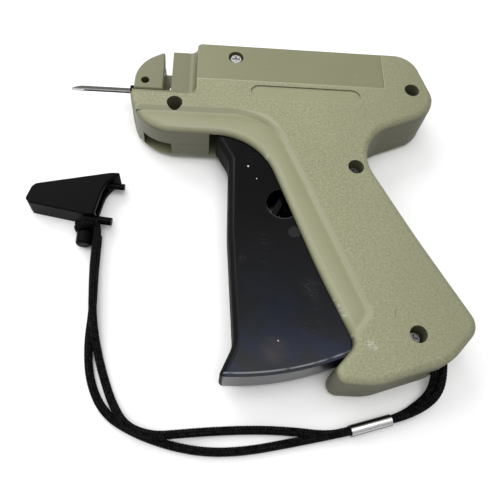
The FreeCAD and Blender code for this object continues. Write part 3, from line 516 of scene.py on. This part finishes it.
def shell_finish():
    """Olive plastic with its grain and smooth places, painted light and shade, and wear."""
    finish = Finish("olive_shell", Specular_IOR_Level=0.45)

    # The sunk panel, a painted highlight along its step, and the nose.
    panel = box_mask(finish, (barrel_front - 2, panel_low), (panel_rear, barrel_top + 2))
    with_line = box_mask(finish, (barrel_front - 2, panel_low - 0.6), (panel_rear + 0.6, barrel_top + 2),
                         blur=0.15)
    within = box_mask(finish, (barrel_front - 3, panel_low), (panel_rear, barrel_top + 3), blur=0.15)
    step_highlight = with_line * (1 - within)
    nose = ((1 - fade(finish, "x", barrel_front - 0.6, barrel_front))
            * fade(finish, "y", ledge_height - 0.4, ledge_height + 0.2))

    # The finger band: smooth inside its edge, which is a valley with painted shade, a crest with a painted
    # highlight and a wide soft rim painted lighter.
    edge = off_band(finish)
    band = 1 - finish.step(edge, 1.2 * mm, 2.0 * mm)
    valley_shade = stripe(finish, edge, (-3.6, -2.0), (-1.5, -0.6))
    crest_highlight = stripe(finish, edge, (-0.9, 0.1), (1.0, 2.0))
    rim_light = stripe(finish, edge, (-10.5, -8.5), (-6.5, -3.5))
    smooth = panel.calc("MAXIMUM", nose).calc("MAXIMUM", band)

    # The long recess: its floor, and its edge, with a painted highlight below and a painted shadow above.
    middle = at(*slot_middle, 0)
    aside = (finish.x - middle.x).calc("ABSOLUTE") - (slot_length - slot_width) / 2 * mm
    aside = aside.calc("MAXIMUM", 0.0)
    above = finish.y - middle.y
    from_slot = (aside * aside + above * above).calc("SQRT")
    slot_side = slot_width / 2
    slot_floor = 1 - finish.step(from_slot, (slot_side - 0.4) * mm, slot_side * mm)
    slot_edge = 1 - finish.step(from_slot, slot_side * mm, (slot_side + 0.5) * mm) - slot_floor
    lower_side = 1 - finish.step(above, -1.5 * mm, 1.5 * mm)

    # Grain, scratches, scuffed lips, dust, the parting line and a nick in the handle.
    grain = 1 - smooth.calc("MAXIMUM", 0.75 * slot_floor)
    fine, coarse = finish.noise(0.42, 2.0, 0.6), finish.noise(0.85, 2.0, 0.55)
    sand = 0.45 * fine + 0.55 * coarse
    cloud = finish.noise(26.0, 3.0)
    marks = scratches(finish, 12, 5.0, 0.10, 0.26) * finish.step(finish.noise(14.0), 0.5, 0.62)
    dark_marks = scratches(finish, 84, 3.2, 0.16, 0.24) * finish.step(finish.noise(11.0), 0.55, 0.66)
    lip = rim_scuffs(finish, (4.8, 32.2, 1.6), (31.8, -34.4, 1.5), (31.0, -32.4, 1.2), (30.2, -30.6, 0.9),
                     (28.8, -28.4, 0.6), (34.4, -41.6, 0.7), (39.9, -45.3, 2.2), (41.4, -46.6, 1.4))
    butt = spot(finish, 52.0, -52.0, 22.0, 0.9) * finish.step(finish.noise(0.9, 4.0, 0.7), 0.62, 0.70)
    dust = finish.step(finish.noise(0.7, 3.0, 0.6), 0.70, 0.74) * finish.step(finish.noise(17.0), 0.45, 0.6)
    worn = (0.5 * marks + 0.5 * butt + 0.35 * dust + 0.6 * lip).calc("MINIMUM", 1.0)
    parting = 1 - finish.step((finish.z - joint_height * mm).calc("ABSOLUTE"), 0.05 * mm, 0.16 * mm)
    nick = box_mask(finish, (49.62, -35.4), (49.88, -32.8), blur=0.1)

    # The colours, one over another: grain, smooth places, painted shade and highlights along edges, painted
    # shade towards the rear, on the nose, on walls and in the hollow, dark joints and marks, and wear.
    base = finish.mix(cloud, olive, light_olive)
    base = finish.mix(grain * (1 - finish.step(sand, 0.38, 0.54)) * 0.5, base, (0.150, 0.148, 0.084, 1))
    base = finish.mix(grain * finish.step(sand, 0.50, 0.64) * 0.5, base, (0.340, 0.335, 0.235, 1))
    base = finish.mix(0.45 * smooth * (1 - 0.75 * band), base, deep_olive)
    # Painted shade in the band's valley, and painted highlights on its crest and rim.
    base = finish.mix(0.15 * valley_shade, base, deep_olive)
    base = finish.mix(0.36 * crest_highlight + 0.13 * rim_light, base, highlight_olive)
    # Painted highlight along the panel's step.
    base = finish.mix(0.40 * step_highlight, base, highlight_olive)
    # Painted highlight on the lower edge of the recess, and painted shadow on its upper edge.
    base = finish.mix(0.45 * slot_edge * lower_side, base, highlight_olive)
    base = finish.mix(0.30 * slot_edge * (1 - lower_side), base, (0.100, 0.098, 0.055, 1))
    # Painted shade: the shell darkens towards the rear.
    rear_shade = fade(finish, "x", 24.0, 88.0)
    base = finish.mix(0.48 * rear_shade, base, (0.150, 0.150, 0.088, 1))
    # Painted shade: the nose is darker.
    base = finish.mix(0.55 * nose, base, (0.115, 0.110, 0.055, 1))
    # Painted shade: walls and other faces that face neither up nor down are darker.
    upright = finish.step(finish.facing("Z").calc("ABSOLUTE"), 0.1, 0.75)
    base = finish.mix(0.75 * (1 - upright), base, (0.060, 0.058, 0.030, 1))
    # Painted shade: the hollow inside the shells, seen through the trigger's opening, is nearly black.
    hollow_shade = spot(finish, 12.0, 8.0, 12.0, 0.3) * fade(finish, "z", 2.6, 3.2)
    hollow_shade = hollow_shade * (1 - fade(finish, "z", 13.0, 15.0))
    base = finish.mix(hollow_shade, base, (0.004, 0.004, 0.003, 1))
    base = finish.mix(parting * 0.75, base, (0.07, 0.068, 0.04, 1))
    base = finish.mix((dark_marks * 0.6).calc("MAXIMUM", 0.8 * nick), base, (0.10, 0.095, 0.055, 1))
    finish.set("Base Color", finish.mix(worn, base, (0.66, 0.66, 0.60, 1)))
    finish.set("Roughness", 0.32 + 0.22 * grain + 0.10 * cloud + 0.12 * worn)
    surface = 0.085 * grain * sand - 0.03 * parting + 0.004 * finish.noise(3.0) - 0.01 * marks
    finish.relief(surface, depth=1.0, edge=0.4)
    return finish.material


olive_shell = shell_finish()
dress("left_housing", "left_shell", olive_shell, "housing")
dress("right_housing", "right_shell", olive_shell, "housing")

# ---------------------------------------------------------------- trigger
# A channel moulded in black ABS with a bright polish that has picked up hairline scratches and a few
# rubbed spots.  It turns on the axle through its neck.
link_pin = (15.2, -0.8)
round_hole = (11.5, 11.7)


def ring(finish, x, y, inner, outer, soft):
    """1 on a ring of the drawing and 0 inside and outside it."""
    return spot(finish, x, y, outer, soft) - spot(finish, x, y, inner, soft)


def gloss_finish():
    """Black polish that has picked up scratches and dust, with a painted sheen that grows lighter and bluer
    towards the foot.
    """
    finish = Finish("black_gloss", Specular_IOR_Level=0.25, IOR=1.36)

    # What the polish has picked up: scratches, rubbed patches, a smudge, specks and dust.
    swirl = scratches(finish, 68, 7.0, 0.10, 0.30).calc("MAXIMUM", scratches(finish, 100, 4.0, 0.09, 0.27))
    patches = finish.step(finish.noise(12.0, 3.0), 0.52, 0.68)
    hairline = spot(finish, 20.0, -37.0, 5.5, 0.3) * scratches(finish, -50, 6.0, 0.25, 0.30)
    rubbed = (swirl * patches).calc("MAXIMUM", hairline)
    rubs = rim_scuffs(finish, (20.6, -22.6, 4.5), (22.0, -27.0, 3.0), (-4.5, -12.2, 2.0))
    smudge = spot(finish, 6.8, -47.0, 6.5, 0.7) * finish.noise(4.0)
    specks = spots(finish, ((-2.3, 28.3, 0.5), (1.1, 22.6, 0.32), (8.3, -43.6, 0.32)))
    dust = finish.step(finish.noise(0.5, 2.0), 0.74, 0.78) * finish.step(finish.noise(11.0), 0.5, 0.65)

    # Painted light and shade: a sheen that grows lighter towards the foot, shade on its front, and
    # highlights along its rims.
    middle = 1 - fade(finish, "y", -30.0, 24.0)
    foot = 1 - fade(finish, "y", -52.0, -12.0)
    shaded_front = finish.step(-1 * finish.facing("X"), 0.12, 0.45)
    groove = ring(finish, *link_pin, 2.25, 2.5, 0.12).calc("MAXIMUM", 0.0)
    hole_rim = ring(finish, *round_hole, 6.5, 6.9, 0.04) * (1 - fade(finish, "y", 8.0, 11.5))
    foot_edge = ring(finish, *drawn_axle.xy, 105.1, 105.6, 0.003) * fade(finish, "z", 18.1, 18.5)
    foot_edge = foot_edge * finish.step(finish.noise(6.0), 0.3, 0.5)
    # Painted highlights: thin bright lines on the rim of the round hole and along the edge of the foot.
    shine = (0.14 * hole_rim).calc("MAXIMUM", 0.5 * foot_edge)

    # Painted sheen: lighter towards the foot, and bluer there.
    base = finish.mix(middle, (0.0010, 0.0010, 0.0011, 1), (0.0066, 0.0069, 0.0080, 1))
    blue_sheen = finish.mix(finish.step(finish.noise(16.0, 3.0), 0.4, 0.6), (0.0062, 0.0068, 0.0095, 1),
                      (0.0056, 0.0094, 0.0240, 1))
    base = finish.mix(foot, base, blue_sheen)
    # Painted shade on the front faces.
    base = finish.mix(shaded_front, base, (0.0006, 0.0006, 0.0007, 1))
    base = finish.mix(smudge, base, (0.034, 0.028, 0.022, 1))
    base = finish.mix(0.20 * rubbed + 0.10 * rubs + 0.12 * dust, base, (0.16, 0.17, 0.18, 1))
    base = finish.mix(shine, base, (0.34, 0.35, 0.37, 1))
    finish.set("Base Color", finish.mix(specks, base, (0.60, 0.60, 0.58, 1)))
    rough = 0.14 + 0.10 * finish.noise(4.0, 3.0) + 0.25 * rubbed + 0.12 * rubs + 0.5 * shaded_front
    finish.set("Roughness", rough)
    surface = 0.006 * finish.noise(2.5, 2.0) - 0.004 * rubbed - 0.08 * groove
    finish.relief(surface, depth=1.0, edge=0.35)
    return finish.material


black_gloss = gloss_finish()
dress("trigger", "trigger_moulding", black_gloss, "trigger")

# ---------------------------------------------------------------- needle cap, plug and lock lever
# Small mouldings in plain black plastic, satin from their moulds, with a trace of dust.  The plug
# holds the needle in the fin, the lever on the right side locks it, and the cap is tied to the strap.
def satin_finish(name, lightness):
    """Black plastic of this lightness, with a satin surface and a trace of dust."""
    finish = Finish(name, Specular_IOR_Level=0.05)
    fine = finish.noise(0.35, 3.0, 0.6)
    dust = finish.step(finish.noise(1.1, 4.0, 0.7), 0.66, 0.74) * finish.step(finish.noise(8.0), 0.5, 0.62)
    base = finish.mix(finish.noise(7.0, 3.0), (lightness, lightness, lightness * 1.02, 1),
                      (lightness * 1.5, lightness * 1.5, lightness * 1.55, 1))
    finish.set("Base Color", finish.mix(0.25 * dust, base, (0.20, 0.20, 0.20, 1)))
    finish.set("Roughness", 0.30 + 0.16 * fine + 0.1 * dust)
    finish.relief(0.015 * fine + 0.02 * finish.noise(2.2), depth=1.0, edge=0.3)
    return finish.material


cap_plastic = satin_finish("cap_plastic", 0.0012)
black_plastic = satin_finish("black_plastic", 0.003)
dress("needle_cap", "cap_moulding", cap_plastic, "housing")
dress("needle_base", "needle_plug", black_plastic, "housing")
dress("needle_lock_lever", "lock_lever", black_plastic, "lock")

# ---------------------------------------------------------------- steel
# The needle and the pins are ground bright, the ferrule and the screws plated, and the levers and
# springs are duller; all carry fine lines from drawing or grinding.  The trigger's link pin is plastic.
def flanks(finish, start, end, half_width, lean):
    """0 along the upper side of a round bar between two places, and 1 on its flanks."""
    outward = (finish.z - start[2] * mm) * math.sin(lean)
    aside = outward - beyond(finish, start[:2], end[:2]) * math.cos(lean)
    return finish.step(aside.calc("ABSOLUTE"), 0.45 * half_width * mm, 0.75 * half_width * mm)


def steel_finish(name, shade, rough, direction, line=None, depth=0.012):
    """Steel with fine lines along one direction and, where a line is given, painted dark reflections on the
    flanks beside its bright upper side.
    """
    finish = Finish(name, Metallic=1.0)
    crowding = tuple(1.0 if axis == direction else 14.0 for axis in "XYZ")
    drawn = finish.node("ShaderNodeMapping", None, {"Vector": finish.place, "Scale": crowding})
    lines = finish.noise(2.6, 3.0, 0.6, place=drawn)
    tarnish = finish.noise(3.5, 4.0)
    dark, light = (shade * 0.82, shade * 0.82, shade * 0.81, 1), (shade, shade, shade, 1)
    base = finish.mix(0.5 * lines + 0.5 * tarnish, dark, light)
    if line:
        base = finish.mix(flanks(finish, *line), base, (shade * 0.06, shade * 0.06, shade * 0.055, 1))
    finish.set("Base Color", base)
    finish.set("Roughness", rough + 0.16 * lines + 0.08 * tarnish)
    finish.relief(depth * lines, depth=1.0)
    return finish.material


bright_steel = steel_finish("bright_steel", 0.78, 0.16, "X")
# Painted reflections: the needle and the ferrule are dark on their flanks beside a bright line along the
# top.
needle_highlight_line = ((-78.4, 69.0, 11.5), (-53.2, 69.0, 11.5), 0.42, 0.45)
needle_steel = steel_finish("needle_steel", 0.85, 0.14, "X", needle_highlight_line)
ferrule_highlight_line = ((50.5, -67.9, 2.75), (35.5, -71.94, 2.75), 2.1, 0.0)
ferrule_steel = steel_finish("ferrule_steel", 0.80, 0.14, "X", ferrule_highlight_line, depth=0.002)
# Painted light and shade: one plated steel in two copies, the top screw's head lighter and the other four
# darker.
shaded_screw_steel = steel_finish("shaded_screw_steel", 0.20, 0.20, "Z", depth=0.05)
lit_screw_steel = steel_finish("lit_screw_steel", 0.52, 0.16, "Z", depth=0.06)
pin_plastic = satin_finish("pin_plastic", 0.016)
zinc_steel = steel_finish("zinc_steel", 0.60, 0.30, "Y")
spring_steel = steel_finish("spring_steel", 0.45, 0.25, "Z")
for node, body, slot, material in (
        ("needle", "housing", "bright_steel", needle_steel),
        ("ferrule", "housing", "bright_steel", ferrule_steel),
        ("trigger_axle", "housing", "bright_steel", bright_steel),
        ("strap_pin", "housing", "bright_steel", bright_steel),
        ("knife_blade", "housing", "bright_steel", bright_steel),
        ("trigger_link_pin", "trigger", "black_plastic", pin_plastic),
        ("drive_link", "link", "zinc_steel", zinc_steel),
        ("drive_lever", "lever", "zinc_steel", zinc_steel),
        ("lever_crank_pin", "lever", "bright_steel", bright_steel),
        ("lever_drive_pin", "lever", "bright_steel", bright_steel),
        ("push_rod", "slide", "bright_steel", bright_steel),
        ("feed_pawl", "pawl", "zinc_steel", zinc_steel),
        ("lever_spring", "housing", "spring_steel", spring_steel)):
    dress(node, node + "_piece", material, body)
for place, material in (("nose", shaded_screw_steel), ("top", lit_screw_steel), ("rear", shaded_screw_steel),
                        ("middle", shaded_screw_steel), ("butt", shaded_screw_steel)):
    dress(place + "_screw", place + "_screw_piece", material, "housing")

# The pawl's coil, with a mesh of its own.
pawl_coil = dress("pawl_spring", "pawl_spring_piece", spring_steel, "housing")
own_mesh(pawl_coil)

# ---------------------------------------------------------------- slide and buffer
# Hidden inside the barrel: the slide that carries the push rod is moulded in white nylon, and the
# ring behind it, which stops it, is black rubber.
nylon = Finish("white_nylon", Subsurface_Weight=0.1, Specular_IOR_Level=0.4)
nylon.set("Base Color", nylon.mix(nylon.noise(9.0), (0.72, 0.71, 0.66, 1), (0.80, 0.79, 0.75, 1)))
nylon.set("Roughness", 0.42 + 0.15 * nylon.noise(1.0, 3.0))
nylon.relief(0.012 * nylon.noise(0.5, 2.0), depth=1.0)
dress("slide_carrier", "slide_block", nylon.material, "slide")
rubber = Finish("black_rubber", Specular_IOR_Level=0.3)
rubber.set("Base Color", rubber.mix(rubber.noise(4.0), (0.018, 0.018, 0.018, 1), (0.03, 0.03, 0.03, 1)))
rubber.set("Roughness", 0.7 + 0.15 * rubber.noise(0.6, 3.0))
rubber.relief(0.015 * rubber.noise(0.4, 2.0), depth=1.0)
dress("rear_buffer", "buffer_ring", rubber.material, "housing")

# ---------------------------------------------------------------- what is on the strap
# The outer strand goes through the pressed steel ferrule and ends in the knot that holds the cap.
# The inner one lies beside it and goes back into the same knot.
held = [strap_end, bpy.data.objects["ferrule_piece"], bpy.data.objects["cap_moulding"]]
for name, far_end, on_it in (("outer_braid", "fitting", held), ("inner_braid", "object", [])):
    strand, points = strands[name]
    length_of(points)
